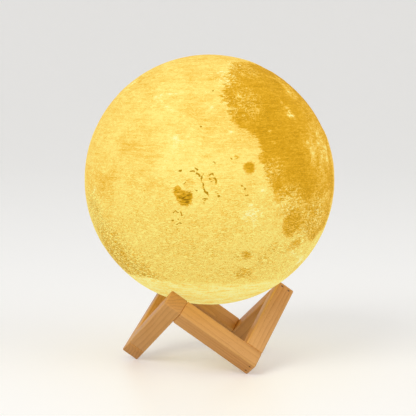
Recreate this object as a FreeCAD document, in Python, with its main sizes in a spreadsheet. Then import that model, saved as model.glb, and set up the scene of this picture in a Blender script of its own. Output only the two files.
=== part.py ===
import FreeCAD, Part
import math
import os
import Sketcher
from types import SimpleNamespace

# A moon lamp: a hollow printed globe with the Moon's seas and basins in low relief, a light base
# that turns into a collar in the globe's mouth, and a stand of six square wooden bars.
# Millimetres, +Z up. The origin is on the floor, on the globe's vertical axis.
#
# The stand's bars lie along the six edges of a cube that miss its lowest and highest corners when
# the cube stands on one corner, so they make a closed zigzag with three feet and three tips.
# The globe rests on the three tips.

SIZES = {
    # the stand
    "bar_width": 11.0,          # the side of a bar's square section
    "bar_length": 53.0,
    "bar_easing": 0.6,          # the small chamfer along a bar's edges
    "brad_width": 1.2,
    "brad_thickness": 1.0,
    "brad_length": 19.5,
    "brad_set": 0.5,            # how far a brad is driven below the wood
    "brad_inset": 2.4,          # from a bar's end to its row of brads
    "brad_spacing": 4.8,
    # the globe
    "globe_radius": 75.0,
    "globe_wall": 1.8,
    "seat_gap": 0.1,            # between the globe and the tips that it rests on
    "mouth_radius": 17.0,       # the hole under the globe
    "underside_rise": 1.6,      # the light base's underside, above the full sphere's lowest point
    "sea_depth": 0.5,
    # the collar glued into the mouth; its levels are measured from the underside
    "ledge_height": 4.9,        # the flat ledge round the mouth inside the globe
    "glue_gap": 0.1,
    "collar_bore": 14.2,        # radius
    "collar_drop": 1.6,         # how far the spigot reaches below the ledge
    "collar_flange_radius": 21.0,
    "collar_flange_thickness": 1.6,
    "collar_rim_radius": 18.6,
    "collar_rim_height": 3.6,
    "catch_height": 0.6,        # the top of the ring under the lugs, above the ledge
    "lug_room": 15.9,           # radius of the track that the lugs turn in
    # the light base
    "turn_clearance": 0.1,      # round the barrel and under the lugs
    "lug_radius": 15.6,
    "lug_thickness": 2.0,
    "lug_angle": 22.0,
    "lug_side_clearance": 0.75,  # degrees, each side of a lug
    "lock_angle": 45.0,         # from locked to lined up with the slots
    "foot_radius": 15.0,        # the round underside
    "foot_height": 2.2,
    "shelf_radius": 16.5,       # the rim that the touch ring lies under
    "shelf_thickness": 0.8,
    "cup_floor": 1.8,
    "cup_wall": 1.6,
    "cup_height": 38.0,
    "ring_radius": 16.7,        # the metal touch ring round the foot
    "ring_height": 2.0,
    "ring_chamfer": 0.3,
    "fit_gap": 0.05,            # round pieces that are pressed or glued in
    "rail_width": 3.4,          # the two rails that hold the board's edges
    "groove_depth": 1.25,
    "groove_gap": 0.05,
    "screw_radius": 0.9,
    "screw_wall": 0.25,         # between a rail's groove and its screw hole
    "screw_head_radius": 1.7,
    "screw_head_height": 1.2,
    "screw_length": 5.4,
    "cover_thickness": 1.6,
    "board_width": 20.0,
    "board_height": 30.5,
    "board_thickness": 1.2,
    "chip_height": 1.2,
    "socket_width": 7.8,
    "socket_depth": 3.0,
    "socket_height": 7.0,
    "socket_recess": 0.5,
    "socket_mouth_width": 6.9,
    "socket_mouth_depth": 1.9,
    "socket_mouth_length": 5.2,
    "socket_tongue_width": 4.4,
    "socket_tongue_thickness": 0.6,
    "socket_tongue_recess": 1.0,
    "lens_radius": 1.2,
    "lens_offset": 7.2,
    "lens_length": 3.6,
    "lens_gap": 0.3,
    "status_chip_width": 2.0,
    "status_chip_height": 1.2,
    "pad_width": 14.0,
    "pad_height": 20.0,
    "pad_thickness": 1.4,
    "cell_width": 18.0,
    "cell_height": 27.0,
    "cell_thickness": 5.2,
    "cell_easing": 0.8,
    "contact_width": 3.0,
    "contact_thickness": 0.4,
    "contact_stand_off": 0.6,   # from the socket to the strip's upright leg
    "contact_rise": 1.9,        # from the socket's top to the strip's
    "slot_room": 0.1,           # round what passes through a slot
    "lead_width": 2.0,
    "lead_thickness": 0.9,
    "lead_bend": 1.0,
    "lead_start": 28.0,         # the level where the light's lead leaves the board
    "lead_stand_off": 2.0,
    "led_board_radius": 6.9,
    "led_board_thickness": 1.2,
    "led_length": 3.0,
    "led_width": 2.0,
    "led_height": 0.7,
    "led_circle": 3.9,
    "diffuser_radius": 8.6,
    "diffuser_wall": 1.0,
    "diffuser_height": 7.0,
    "diffuser_chamfer": 0.8,
}

OUTER_FACETS = 60       # the relief's grid: round the globe, and half as many up it
INNER_FACETS = 24       # the globe's inside is plain and many-sided
SIDES = 12              # of a small screw
FACE_LONGITUDE = -85.0  # the side of the Moon turned to the front (-Y)
POLE_LEAN = 17.7        # the Moon's north pole leans this far to the back
RELIEF_ENDS = -46.0     # the globe is smooth below this latitude of its own
RELIEF_FADES = 10.0     # degrees over which the relief grows above it
SEA_FLOOR = 0.7         # shares of a sea's radius, between which its floor rises to the shore
SEA_SHORE = 1.15
BEYOND = 1.0            # how far a cutting shape runs past the face that it opens
HEXAGON_FLAT = math.cos(math.pi / 6.0)

# The Moon's dark seas and wide basins: latitude, longitude and radius in degrees.
SEAS = [
    (20, -58, 13), (4, -52, 12), (36, -52, 11), (-9, -44, 8), (46, -38, 8),      # Ocean of Storms
    (34, -16, 17),                                                               # Sea of Rains
    (7, -31, 9), (-11, -23, 7), (13, 4, 5),                       # Islands, Known Sea, Vapours
    (-21, -17, 10), (-24, -39, 6),                                               # Clouds, Moisture
    (28, 17, 11), (8, 31, 13), (-15, 35, 6),                  # Serenity, Tranquillity, Nectar
    (17, 59, 8), (-8, 51, 11),                                                   # Crises, Fecundity
    (57, -22, 6), (57, 2, 6), (55, 28, 6),                                       # Sea of Cold
    (-19, -93, 5), (27, 148, 5), (-34, 164, 5),                   # Eastern Sea, far side seas
    (-50, -169, 24),                                              # the great south basin
]

# The board's front: each chip's width and height, its place across and its level.
BOARD_CHIPS = [
    (6.0, 5.0, -3.0, 18.0),     # the driver and touch chip
    (4.0, 4.0, 4.5, 19.0),      # two chokes
    (3.0, 4.0, 4.5, 12.5),
    (4.0, 4.0, -4.5, 11.5),     # the charging chip
    (2.0, 1.2, 0.0, 24.5),      # small parts
    (2.0, 1.2, -6.0, 5.5),
]


class Size(float):
    """A number that remembers the sheet's expression for it, so features can be bound to it."""

    def __new__(cls, value, text):
        size = float.__new__(cls, value)
        size.text = text
        return size

    def __add__(self, other):
        return Size(float(self) + float(other), f"({self.text} + {words(other)})")

    def __radd__(self, other):
        return Size(float(other) + float(self), f"({words(other)} + {self.text})")

    def __sub__(self, other):
        return Size(float(self) - float(other), f"({self.text} - {words(other)})")

    def __rsub__(self, other):
        return Size(float(other) - float(self), f"({words(other)} - {self.text})")

    def __mul__(self, other):
        return Size(float(self) * float(other), f"({self.text} * {words(other)})")

    def __rmul__(self, other):
        return Size(float(other) * float(self), f"({words(other)} * {self.text})")

    def __truediv__(self, other):
        return Size(float(self) / float(other), f"({self.text} / {words(other)})")

    def __neg__(self):
        return Size(-float(self), f"(-{self.text})")


def words(number):
    return number.text if isinstance(number, Size) else repr(float(number))


def root(size):
    return Size(math.sqrt(size), f"sqrt({size.text})")


doc = FreeCAD.newDocument("MoonLamp")
sheet = doc.addObject("Spreadsheet::Sheet", "Sizes")
for row, (alias, number) in enumerate(SIZES.items(), start=1):
    sheet.set(f"A{row}", alias.replace("_", " "))
    sheet.set(f"B{row}", str(number))
    sheet.setAlias(f"B{row}", alias)
doc.recompute()
s = SimpleNamespace(**{alias: Size(sheet.get(alias), f"Sizes.{alias}") for alias in SIZES})

# ---- sizes worked out from the ones above

ROOT3 = math.sqrt(3.0)
ring_edge = s.bar_length + s.bar_width          # the edge of the stand's cube
# The cube's lowest corner lies under the floor: each foot stands on the small flat of its eased corner.
cube_foot = -(s.bar_length + 2.0 * s.bar_easing) / ROOT3
# The globe's centre is at (along, along, along) in the cube's own axes, where it just meets
# the upper corner of each tip's end face.
tip_edge = ring_edge - s.bar_easing
reach = s.globe_radius + s.seat_gap
half_sum = 2.0 * tip_edge + s.bar_width
along = (half_sum + root(half_sum * half_sum
                         - 3.0 * (2.0 * tip_edge * tip_edge + s.bar_width * s.bar_width
                                  - reach * reach))) / 3.0
globe_centre = along * ROOT3 + cube_foot
underside = globe_centre - s.globe_radius + s.underside_rise    # of the light base

barrel_radius = s.collar_bore - s.turn_clearance
cup_radius = barrel_radius - s.cup_wall
shelf_top = s.foot_height + s.shelf_thickness
catch_top = s.ledge_height + s.catch_height
ring_low = s.foot_height - s.ring_height
board_top = s.cup_floor + s.board_height
cover_top = s.cup_height + s.cover_thickness
led_board_top = cover_top + s.led_board_thickness
cell_front = s.board_thickness + s.pad_thickness    # the board's front face is the plane y = 0
cell_top = s.cup_floor + s.cell_height
lead_rise = s.led_board_radius * HEXAGON_FLAT + s.slot_room + s.lead_thickness / 2.0
groove_end = s.board_width / 2.0 + s.groove_gap
rail_start = groove_end - s.groove_depth
screw_centre = groove_end + s.screw_wall + s.screw_radius
contact_near = s.socket_depth + s.contact_stand_off
contact_top = s.socket_recess + s.socket_height + s.contact_rise

parts = []


# ---- helpers

def bind(item, **values):
    """Sets properties, and ties each that is a Size to the sheet."""
    for name, value in values.items():
        setattr(item, name, float(value))
        if isinstance(value, Size):
            item.setExpression(name, value.text)


def place(item, x=0.0, y=0.0, z=0.0, rotation=None):
    item.Placement = FreeCAD.Placement(FreeCAD.Vector(float(x), float(y), float(z)),
                                       rotation or FreeCAD.Rotation())
    for axis, value in (("x", x), ("y", y), ("z", z)):
        if isinstance(value, Size):
            item.setExpression(f"Placement.Base.{axis}", value.text)
    return item


def keep(item, name):
    """Makes an object a sub-part: its label names its file."""
    item.Label = name
    parts.append(item)
    return item


def box(length, width, height, x=0.0, y=0.0, z=0.0, turn=0.0):
    """A block centred on (x, y), standing on z, turned about the vertical axis."""
    item = doc.addObject("Part::Box", "Block")
    bind(item, Length=length, Width=width, Height=height)
    if not turn:
        return place(item, x - length / 2.0, y - width / 2.0, z)
    rotation = FreeCAD.Rotation(FreeCAD.Vector(0, 0, 1), turn)
    corner = rotation.multVec(FreeCAD.Vector(-length / 2.0, -width / 2.0, 0))
    return place(item, x + corner.x, y + corner.y, z, rotation)


def wedge(radius, height, start, angle, z):
    """A slice of a round block about the vertical axis."""
    item = doc.addObject("Part::Cylinder", "Wedge")
    bind(item, Radius=radius, Height=height, Angle=angle)
    return place(item, z=z, rotation=FreeCAD.Rotation(FreeCAD.Vector(0, 0, 1), float(start)))


def rod(radius, height, x=0.0, y=0.0, z=0.0):
    item = doc.addObject("Part::Cylinder", "Rod")
    bind(item, Radius=radius, Height=height)
    return place(item, x, y, z)


def prism(sides, radius, height, x=0.0, y=0.0, z=0.0, turn=0.0):
    item = doc.addObject("Part::Prism", "Prism")
    item.Polygon = sides
    bind(item, Circumradius=radius, Height=height)
    return place(item, x, y, z, FreeCAD.Rotation(FreeCAD.Vector(0, 0, 1), turn))


def fuse(*items):
    joined = doc.addObject("Part::MultiFuse", "Joined")
    joined.Shapes = list(items)
    return joined


def cut(base, *tools):
    tool = tools[0] if len(tools) == 1 else fuse(*tools)
    result = doc.addObject("Part::Cut", "Shaped")
    result.Base = base
    result.Tool = tool
    return result


def group(*items):
    """Separate solids that share one sub-part."""
    together = doc.addObject("Part::Compound", "Group")
    together.Links = list(items)
    return together


def sketch(body, role, name):
    drawing = body.newObject("Sketcher::SketchObject", name)
    plane = next(item for item in body.Origin.OriginFeatures if item.Role == role)
    drawing.AttachmentSupport = (plane, [""])
    drawing.MapMode = "FlatFace"
    return drawing


def outline(drawing, corners):
    """Adds a closed outline of straight lines, each corner tied to its sizes."""
    points = [FreeCAD.Vector(float(x), float(y), 0) for x, y in corners]
    first = drawing.GeometryCount
    for start, end in zip(points, points[1:] + points[:1]):
        drawing.addGeometry(Part.LineSegment(start, end), False)
    count = len(points)
    for number in range(count):
        line, following = first + number, first + (number + 1) % count
        drawing.addConstraint(Sketcher.Constraint("Coincident", line, 2, following, 1))
    for number, corner in enumerate(corners):
        for kind, axis, value in (("DistanceX", -2, corner[0]), ("DistanceY", -1, corner[1])):
            if float(value) == 0.0:
                drawing.addConstraint(Sketcher.Constraint("PointOnObject", first + number, 1, axis))
                continue
            index = drawing.addConstraint(
                Sketcher.Constraint(kind, -1, 1, first + number, 1, float(value)))
            if isinstance(value, Size):
                drawing.setExpression(f"Constraints[{index}]", value.text)


def turned(name, corners, z):
    """A body turned about the vertical axis from an outline of (radius, height) corners."""
    body = doc.addObject("PartDesign::Body", name)
    drawing = sketch(body, "XZ_Plane", f"{name}_profile")
    outline(drawing, corners)
    turn = body.newObject("PartDesign::Revolution", f"{name}_turn")
    turn.Profile = drawing
    turn.ReferenceAxis = (drawing, ["V_Axis"])
    turn.Angle = 360.0
    body.Tip = turn
    return place(body, z=z)


# ---- the stand

def cube_axes(step):
    """The stand's cube axes, 120 degrees apart round the vertical, starting towards -X."""
    axes = []
    for number in range(3):
        angle = math.pi + (number + step) * 2.0 * math.pi / 3.0
        flat = math.sqrt(2.0 / 3.0)
        axes.append(FreeCAD.Vector(flat * math.cos(angle), flat * math.sin(angle), 1.0 / ROOT3))
    return axes


def bar_placement(step, rising):
    """Where a bar's corner lies, and how its own X, Y and Z lie in the stand's cube."""
    first, second, third = cube_axes(step)
    if rising:
        corner = first * float(s.bar_length) + second * float(s.bar_width)
        rotation = FreeCAD.Rotation(third, first, second, "ZXY")
    else:
        corner = second * float(ring_edge) + first * float(s.bar_length)
        rotation = FreeCAD.Rotation(-second, third, -first, "ZXY")
    corner.z += float(cube_foot)
    return FreeCAD.Placement(corner, rotation)


def brad_rows():
    """The two brads' places across a bar, from its edge."""
    middle = s.bar_width / 2.0
    return middle - s.brad_spacing / 2.0, middle + s.brad_spacing / 2.0


def slot(x, y, width, height):
    return [(x - width / 2.0, y - height / 2.0), (x + width / 2.0, y - height / 2.0),
            (x + width / 2.0, y + height / 2.0), (x - width / 2.0, y + height / 2.0)]


def bar(name, placement):
    """A square bar: brads cross it near its upper end, and others enter its lower end."""
    body = doc.addObject("PartDesign::Body", name)
    section = sketch(body, "XY_Plane", f"{name}_section")
    outline(section, [(0.0, 0.0), (s.bar_width, 0.0), (s.bar_width, s.bar_width),
                      (0.0, s.bar_width)])
    block = body.newObject("PartDesign::Pad", f"{name}_block")
    block.Profile = section
    bind(block, Length=s.bar_length)
    doc.recompute()
    eased = body.newObject("PartDesign::Chamfer", f"{name}_eased")
    eased.Base = (block, [f"Edge{number + 1}" for number in range(len(block.Shape.Edges))])
    bind(eased, Size=s.bar_easing)
    across = sketch(body, "XZ_Plane", f"{name}_across")
    inward = sketch(body, "XY_Plane", f"{name}_inward")
    for row in brad_rows():
        outline(across, slot(row, s.bar_length - s.brad_inset, s.brad_width, s.brad_thickness))
        outline(inward, slot(s.brad_inset, row, s.brad_thickness, s.brad_width))
    through = body.newObject("PartDesign::Pocket", f"{name}_through")
    through.Profile = across
    through.Type = "ThroughAll"
    through.Midplane = True
    blind = body.newObject("PartDesign::Pocket", f"{name}_blind")
    blind.Profile = inward
    blind.Reversed = True
    bind(blind, Length=s.brad_length + s.brad_set - s.bar_width)
    body.Tip = blind
    body.Placement = placement
    keep(body, name)


def brads(name, rising):
    """Six brads: two through the end of each bar that runs past its neighbour's end."""
    solids = []
    for step in range(3):
        at = bar_placement(step, rising)
        for row in brad_rows():
            brad = doc.addObject("Part::Box", "Brad")
            bind(brad, Length=s.brad_width, Width=s.brad_length, Height=s.brad_thickness)
            start = s.bar_width - s.brad_set - s.brad_length if rising else s.brad_set
            corner = FreeCAD.Vector(float(row - s.brad_width / 2.0), float(start),
                                    float(s.bar_length - s.brad_inset - s.brad_thickness / 2.0))
            brad.Placement = at.multiply(FreeCAD.Placement(corner, FreeCAD.Rotation()))
            solids.append(brad)
    keep(group(*solids), name)


# ---- the globe

def moon_direction(x, y, z):
    """Turns a direction of the lamp into the Moon's own latitude and longitude, in degrees."""
    lean = math.radians(POLE_LEAN)
    y, z = (y * math.cos(lean) - z * math.sin(lean), y * math.sin(lean) + z * math.cos(lean))
    longitude = math.degrees(math.atan2(y, x)) + 90.0 + FACE_LONGITUDE
    return math.degrees(math.asin(max(-1.0, min(1.0, z)))), longitude


def smooth(low, high, value):
    share = max(0.0, min(1.0, (value - low) / (high - low)))
    return share * share * (3.0 - 2.0 * share)


def relief(x, y, z):
    """How far the globe's face lies inside its full radius, in a direction of length 1."""
    latitude, longitude = (math.radians(angle) for angle in moon_direction(x, y, z))
    depth = 0.0
    for sea_latitude, sea_longitude, radius in SEAS:
        there = math.radians(sea_latitude)
        apart = math.degrees(math.acos(max(-1.0, min(1.0, (
            math.sin(latitude) * math.sin(there)
            + math.cos(latitude) * math.cos(there)
            * math.cos(longitude - math.radians(sea_longitude)))))))
        depth = max(depth, 1.0 - smooth(SEA_FLOOR * radius, SEA_SHORE * radius, apart))
    own_latitude = math.degrees(math.asin(z))
    return depth * smooth(RELIEF_ENDS, RELIEF_ENDS + RELIEF_FADES, own_latitude)


def grid(radius, lowest, count, depth):
    """Rings of points on a sphere, from a lowest latitude to just under the top, and the top."""
    levels = count // 2
    rings = []
    for level in range(levels):
        latitude = lowest + (math.pi / 2.0 - lowest) * level / levels
        ring = []
        for number in range(count):
            angle = 2.0 * math.pi * number / count
            x = math.cos(latitude) * math.cos(angle)
            y = math.cos(latitude) * math.sin(angle)
            z = math.sin(latitude)
            far = radius - depth * relief(x, y, z) if depth else radius
            ring.append(FreeCAD.Vector(x * far, y * far, z * far))
        rings.append(ring)
    top = radius - depth * relief(0.0, 0.0, 1.0) if depth else radius
    return rings, FreeCAD.Vector(0, 0, top)


def flat(*corners):
    return Part.Face(Part.makePolygon(list(corners) + [corners[0]]))


def skin(rings, top, split):
    """Faces over a grid: four-sided where it is plain, three-sided where it has relief."""
    faces = []
    for low, high in zip(rings, rings[1:]):
        for number in range(len(low)):
            a, b = low[number], low[(number + 1) % len(low)]
            c, d = high[(number + 1) % len(low)], high[number]
            faces += [flat(a, b, c), flat(a, c, d)] if split else [flat(a, b, c, d)]
    last = rings[-1]
    faces += [flat(last[number], last[(number + 1) % len(last)], top) for number in range(len(last))]
    return faces


def moon_shell():
    """The hollow globe. Its relief is a face of small flats, and its corners lie on the sphere."""
    radius, wall = float(s.globe_radius), float(s.globe_wall)
    inner = radius - wall
    ledge = -radius + float(s.underside_rise + s.ledge_height)
    mouth = float(s.mouth_radius)
    outer_rings, outer_top = grid(radius, -math.acos(mouth / radius), OUTER_FACETS,
                                  float(s.sea_depth))
    inner_rings, inner_top = grid(inner, math.asin(ledge / inner), INNER_FACETS, 0.0)
    faces = skin(outer_rings, outer_top, True) + skin(inner_rings, inner_top, False)
    low = outer_rings[0]
    high = [FreeCAD.Vector(point.x, point.y, ledge) for point in low]
    count = len(low)
    faces += [flat(low[number], low[(number + 1) % count], high[(number + 1) % count], high[number])
              for number in range(count)]
    floor = inner_rings[0]
    around_mouth = high[::-1]
    faces.append(Part.Face([Part.makePolygon(floor + floor[:1]),
                            Part.makePolygon(around_mouth + around_mouth[:1])]))
    shell = Part.makeShell(faces)
    shell.sewShape()
    solid = Part.makeSolid(shell)
    if solid.Volume < 0.0:
        solid.reverse()
    item = doc.addObject("Part::Feature", "MoonShell")
    item.Shape = solid
    place(item, z=globe_centre)
    keep(item, "moon_shell")


def level(height):
    """A level of the row for a height above the light base's underside."""
    return underside + height


def shell_collar():
    """A flanged ring glued on the ledge, with a track and three slots for the base's lugs."""
    low = s.ledge_height - s.collar_drop
    high = s.ledge_height + s.collar_rim_height
    flange_top = s.ledge_height + s.collar_flange_thickness
    spigot = s.mouth_radius - s.glue_gap
    ring = turned("CollarRing", [
        (s.collar_bore, low), (spigot, low), (spigot, s.ledge_height),
        (s.collar_flange_radius, s.ledge_height), (s.collar_flange_radius, flange_top),
        (s.collar_rim_radius, flange_top), (s.collar_rim_radius, high), (s.collar_bore, high),
    ], level(0.0))
    room = s.lug_angle + 2.0 * s.lug_side_clearance
    tools = []
    for number in range(3):
        start = 120.0 * number - room / 2.0
        tools.append(wedge(s.lug_room, high - catch_top + BEYOND, start, room + s.lock_angle,
                           level(catch_top)))
        tools.append(wedge(s.lug_room, high - low + 2.0 * BEYOND, start + s.lock_angle, room,
                           level(low - BEYOND)))
    keep(cut(ring, *tools), "shell_collar")


# ---- the light base

def screw_places():
    middle = s.board_thickness / 2.0
    return [(-screw_centre, middle), (screw_centre, middle)]


def base_cup():
    """The round cup that holds the electronics, with a rim, three lugs and two grooved rails."""
    cup = turned("CupTurning", [
        (0.0, 0.0), (s.foot_radius, 0.0), (s.foot_radius, s.foot_height),
        (s.shelf_radius, s.foot_height), (s.shelf_radius, shelf_top), (barrel_radius, shelf_top),
        (barrel_radius, s.cup_height), (cup_radius, s.cup_height), (cup_radius, s.cup_floor),
        (0.0, s.cup_floor),
    ], level(0.0))
    mid_wall = barrel_radius - s.cup_wall / 2.0
    lug_level = level(catch_top + s.turn_clearance)
    lugs = [wedge(s.lug_radius, s.lug_thickness, 120.0 * number - s.lug_angle / 2.0, s.lug_angle,
                  lug_level) for number in range(3)]
    lug_ring = cut(fuse(*lugs), rod(mid_wall, s.lug_thickness, z=lug_level))
    middle = s.board_thickness / 2.0
    rail = [box(2.0 * mid_wall, s.rail_width, s.cup_height - s.cup_floor, 0.0, middle,
                level(s.cup_floor)),
            box(2.0 * rail_start, s.rail_width + 2.0 * BEYOND, s.cup_height, 0.0, middle,
                level(s.cup_floor))]
    inside_cup = doc.addObject("Part::MultiCommon", "RailsInCup")
    inside_cup.Shapes = [cut(*rail), rod(mid_wall, s.cup_height, z=level(0.0))]
    groove = box(2.0 * groove_end, s.board_thickness + 2.0 * s.groove_gap, s.cup_height, 0.0, middle,
                 level(s.cup_floor))
    pilots = [prism(SIDES, s.screw_radius, s.screw_length, x, y, level(cover_top - s.screw_length))
              for x, y in screw_places()]
    socket_hole = box(s.socket_width + 2.0 * s.slot_room, s.socket_depth + 2.0 * s.slot_room,
                      s.cup_floor + 2.0 * BEYOND, 0.0, -s.socket_depth / 2.0, level(-BEYOND))
    lens_hole = rod(s.lens_radius + s.fit_gap, s.cup_floor + 2.0 * BEYOND, s.lens_offset,
                    -s.lens_radius, level(-BEYOND))
    slot_start = cup_radius - BEYOND
    slot_end = s.foot_radius + BEYOND
    contact_slot = box(s.contact_width + 2.0 * s.slot_room, slot_end - slot_start,
                       s.contact_thickness + s.slot_room, 0.0, -(slot_start + slot_end) / 2.0,
                       level(s.cup_floor))
    keep(cut(fuse(cup, lug_ring, inside_cup), groove, *pilots, socket_hole, lens_hole,
             contact_slot), "base_cup")


def touch_ring():
    """The metal ring round the foot, which dims the lamp at a touch."""
    inside = s.foot_radius + s.fit_gap
    high = s.ring_height
    ring = turned("TouchRing", [
        (inside, 0.0), (s.ring_radius - s.ring_chamfer, 0.0), (s.ring_radius, s.ring_chamfer),
        (s.ring_radius, high), (inside, high),
    ], level(ring_low))
    keep(ring, "touch_ring")


def touch_contact():
    """A bent strip from the touch ring, through the cup's wall and up past the socket, to the board."""
    body = doc.addObject("PartDesign::Body", "Contact")
    bend = sketch(body, "YZ_Plane", "Contact_bend")
    far = s.foot_radius - s.fit_gap
    near = contact_near
    thick, high = s.contact_thickness, contact_top - s.cup_floor
    outline(bend, [
        (-far, 0.0), (-near + thick, 0.0), (-near + thick, high - thick), (0.0, high - thick),
        (0.0, high), (-near, high), (-near, thick), (-far, thick),
    ])
    strip = body.newObject("PartDesign::Pad", "Contact_strip")
    strip.Profile = bend
    strip.Midplane = True
    bind(strip, Length=s.contact_width)
    body.Tip = strip
    keep(place(body, z=level(s.cup_floor)), "touch_contact")


def charging_socket():
    """A charging socket on the board's front face: a metal can open downwards, with a tongue."""
    low = level(s.socket_recess)
    middle = -s.socket_depth / 2.0
    can = box(s.socket_width, s.socket_depth, s.socket_height, 0.0, middle, low)
    mouth = box(s.socket_mouth_width, s.socket_mouth_depth, s.socket_mouth_length + BEYOND, 0.0,
                middle, low - BEYOND)
    tongue = box(s.socket_tongue_width, s.socket_tongue_thickness, s.socket_mouth_length, 0.0,
                 middle, low + s.socket_tongue_recess)
    keep(fuse(cut(can, mouth), tongue), "charging_socket")


def status_lens():
    keep(rod(s.lens_radius, s.lens_length, s.lens_offset, -s.lens_radius, level(0.0)),
         "status_lens")


def main_board():
    keep(box(s.board_width, s.board_thickness, s.board_height, 0.0, s.board_thickness / 2.0,
             level(s.cup_floor)), "main_board")


def board_chips():
    """The chips on the board's front, and the status light over its lens."""
    chips = [box(width, s.chip_height, height, x, -s.chip_height / 2.0, level(z))
             for width, height, x, z in BOARD_CHIPS]
    chips.append(box(s.status_chip_width, s.chip_height, s.status_chip_height, s.lens_offset,
                     -s.chip_height / 2.0, level(s.lens_length + s.lens_gap)))
    keep(group(*chips), "board_chips")


def battery_pad():
    """The foam tape between the board's back and the battery."""
    middle = s.cup_floor + s.cell_height / 2.0
    keep(box(s.pad_width, s.pad_thickness, s.pad_height, 0.0,
             s.board_thickness + s.pad_thickness / 2.0, level(middle - s.pad_height / 2.0)),
         "battery_pad")


def battery_cell():
    block = box(s.cell_width, s.cell_thickness, s.cell_height, 0.0,
                cell_front + s.cell_thickness / 2.0, level(s.cup_floor))
    doc.recompute()
    cell = doc.addObject("Part::Chamfer", "Cell")
    cell.Base = block
    easing = float(s.cell_easing)
    cell.Edges = [(number + 1, easing, easing) for number in range(len(block.Shape.Edges))]
    keep(cell, "battery_cell")


def led_cover():
    """The lid on the cup, which carries the light."""
    lid = rod(barrel_radius, s.cover_thickness, z=level(s.cup_height))
    holes = [prism(SIDES, s.screw_radius, s.cover_thickness + 2.0 * BEYOND, x, y,
                   level(s.cup_height - BEYOND))
             for x, y in screw_places()]
    lead_hole = box(s.lead_width + 2.0 * s.slot_room, s.lead_thickness + 2.0 * s.slot_room,
                    s.cover_thickness + 2.0 * BEYOND, 0.0, -lead_rise,
                    level(s.cup_height - BEYOND))
    keep(cut(lid, *holes, lead_hole), "led_cover")


def cover_screws():
    """Two pan-head screws through the lid into the rails."""
    solids = [fuse(prism(SIDES, s.screw_head_radius, s.screw_head_height, x, y, level(cover_top)),
                   prism(SIDES, s.screw_radius, s.screw_length, x, y,
                         level(cover_top - s.screw_length)))
              for x, y in screw_places()]
    keep(group(*solids), "cover_screws")


def led_board():
    keep(prism(6, s.led_board_radius, s.led_board_thickness, z=level(cover_top)), "led_board")


def led_chips():
    """Six warm and white chips in a circle, and one in the middle."""
    chips = [box(s.led_width, s.led_width, s.led_height, z=level(led_board_top))]
    for number in range(6):
        turn = 60.0 * number + 30.0
        angle = math.radians(turn)
        chips.append(box(s.led_width, s.led_length, s.led_height, s.led_circle * math.cos(angle),
                         s.led_circle * math.sin(angle), level(led_board_top), turn))
    keep(group(*chips), "led_chips")


def diffuser_cap():
    """The milky cap over the lights."""
    outside, inside = s.diffuser_radius, s.diffuser_radius - s.diffuser_wall
    high, under = s.diffuser_height, s.diffuser_height - s.diffuser_wall
    cap = turned("DiffuserCap", [
        (inside, 0.0), (outside, 0.0), (outside, high - s.diffuser_chamfer),
        (outside - s.diffuser_chamfer, high), (0.0, high), (0.0, under), (inside, under),
    ], level(cover_top))
    keep(cap, "diffuser_cap")


def lead(name, route):
    """A flat two-core lead in the plane x = 0 along a route of (y, z) points, bent in small arcs."""
    points = [FreeCAD.Vector(0, float(y), float(z)) for y, z in route]
    bend = float(s.lead_bend)
    edges = []
    start = points[0]
    for before, point, after in zip(points, points[1:], points[2:]):
        back = (before - point).normalize()
        on = (after - point).normalize()
        into, out = point + back * bend, point + on * bend
        middle = point + (back + on) * bend * (1.0 - math.sqrt(0.5))
        edges += [Part.LineSegment(start, into).toShape(), Part.Arc(into, middle, out).toShape()]
        start = out
    edges.append(Part.LineSegment(start, points[-1]).toShape())
    path = Part.Wire(edges)
    side = FreeCAD.Vector(float(s.lead_width) / 2.0, 0, 0)
    over = (points[1] - points[0]).normalize().cross(FreeCAD.Vector(1, 0, 0))
    over = over * (float(s.lead_thickness) / 2.0)
    corners = [points[0] - side - over, points[0] + side - over,
               points[0] + side + over, points[0] - side + over]
    item = doc.addObject("Part::Feature", "Lead")
    item.Shape = path.makePipeShell([Part.makePolygon(corners + corners[:1])], True, False)
    place(item, z=level(0.0))
    keep(item, name)
    area = float(s.lead_width * s.lead_thickness)
    print(f"{name}: {path.Length:.2f} mm long, {item.Shape.Volume:.3f} mm3 for "
          f"{path.Length * area:.3f} by its section")


def led_lead():
    """From the board's front face, up and across, and up through the lid beside the light board."""
    under_lid = s.cup_height - s.lead_thickness
    lead("led_lead", [
        (0.0, s.lead_start), (-s.lead_stand_off, s.lead_start), (-s.lead_stand_off, under_lid),
        (-lead_rise, under_lid), (-lead_rise, led_board_top),
    ])


def battery_lead():
    """From the battery's top, over the board's upper edge, down on to it."""
    across = board_top + s.lead_bend + s.lead_thickness / 2.0
    middle = cell_front + s.cell_thickness / 2.0
    lead("battery_lead", [
        (middle, cell_top), (middle, across), (s.board_thickness / 2.0, across),
        (s.board_thickness / 2.0, board_top),
    ])


for step in range(3):
    bar(f"rising_bar_{step + 1}", bar_placement(step, True))
    bar(f"falling_bar_{step + 1}", bar_placement(step, False))
brads("tip_brads", True)
brads("foot_brads", False)
moon_shell()
shell_collar()
base_cup()
touch_ring()
touch_contact()
charging_socket()
status_lens()
main_board()
board_chips()
battery_pad()
battery_cell()
battery_lead()
led_cover()
cover_screws()
led_board()
led_chips()
led_lead()
diffuser_cap()

doc.recompute()
for item in doc.Objects:
    if {"Invalid", "Error"} & set(item.State):
        raise RuntimeError(f"{item.Label} could not be made: {item.State}")
for item in parts:
    if item.Shape.isNull() or not item.Shape.isValid():
        raise RuntimeError(f"{item.Label} has no valid shape")

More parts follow.
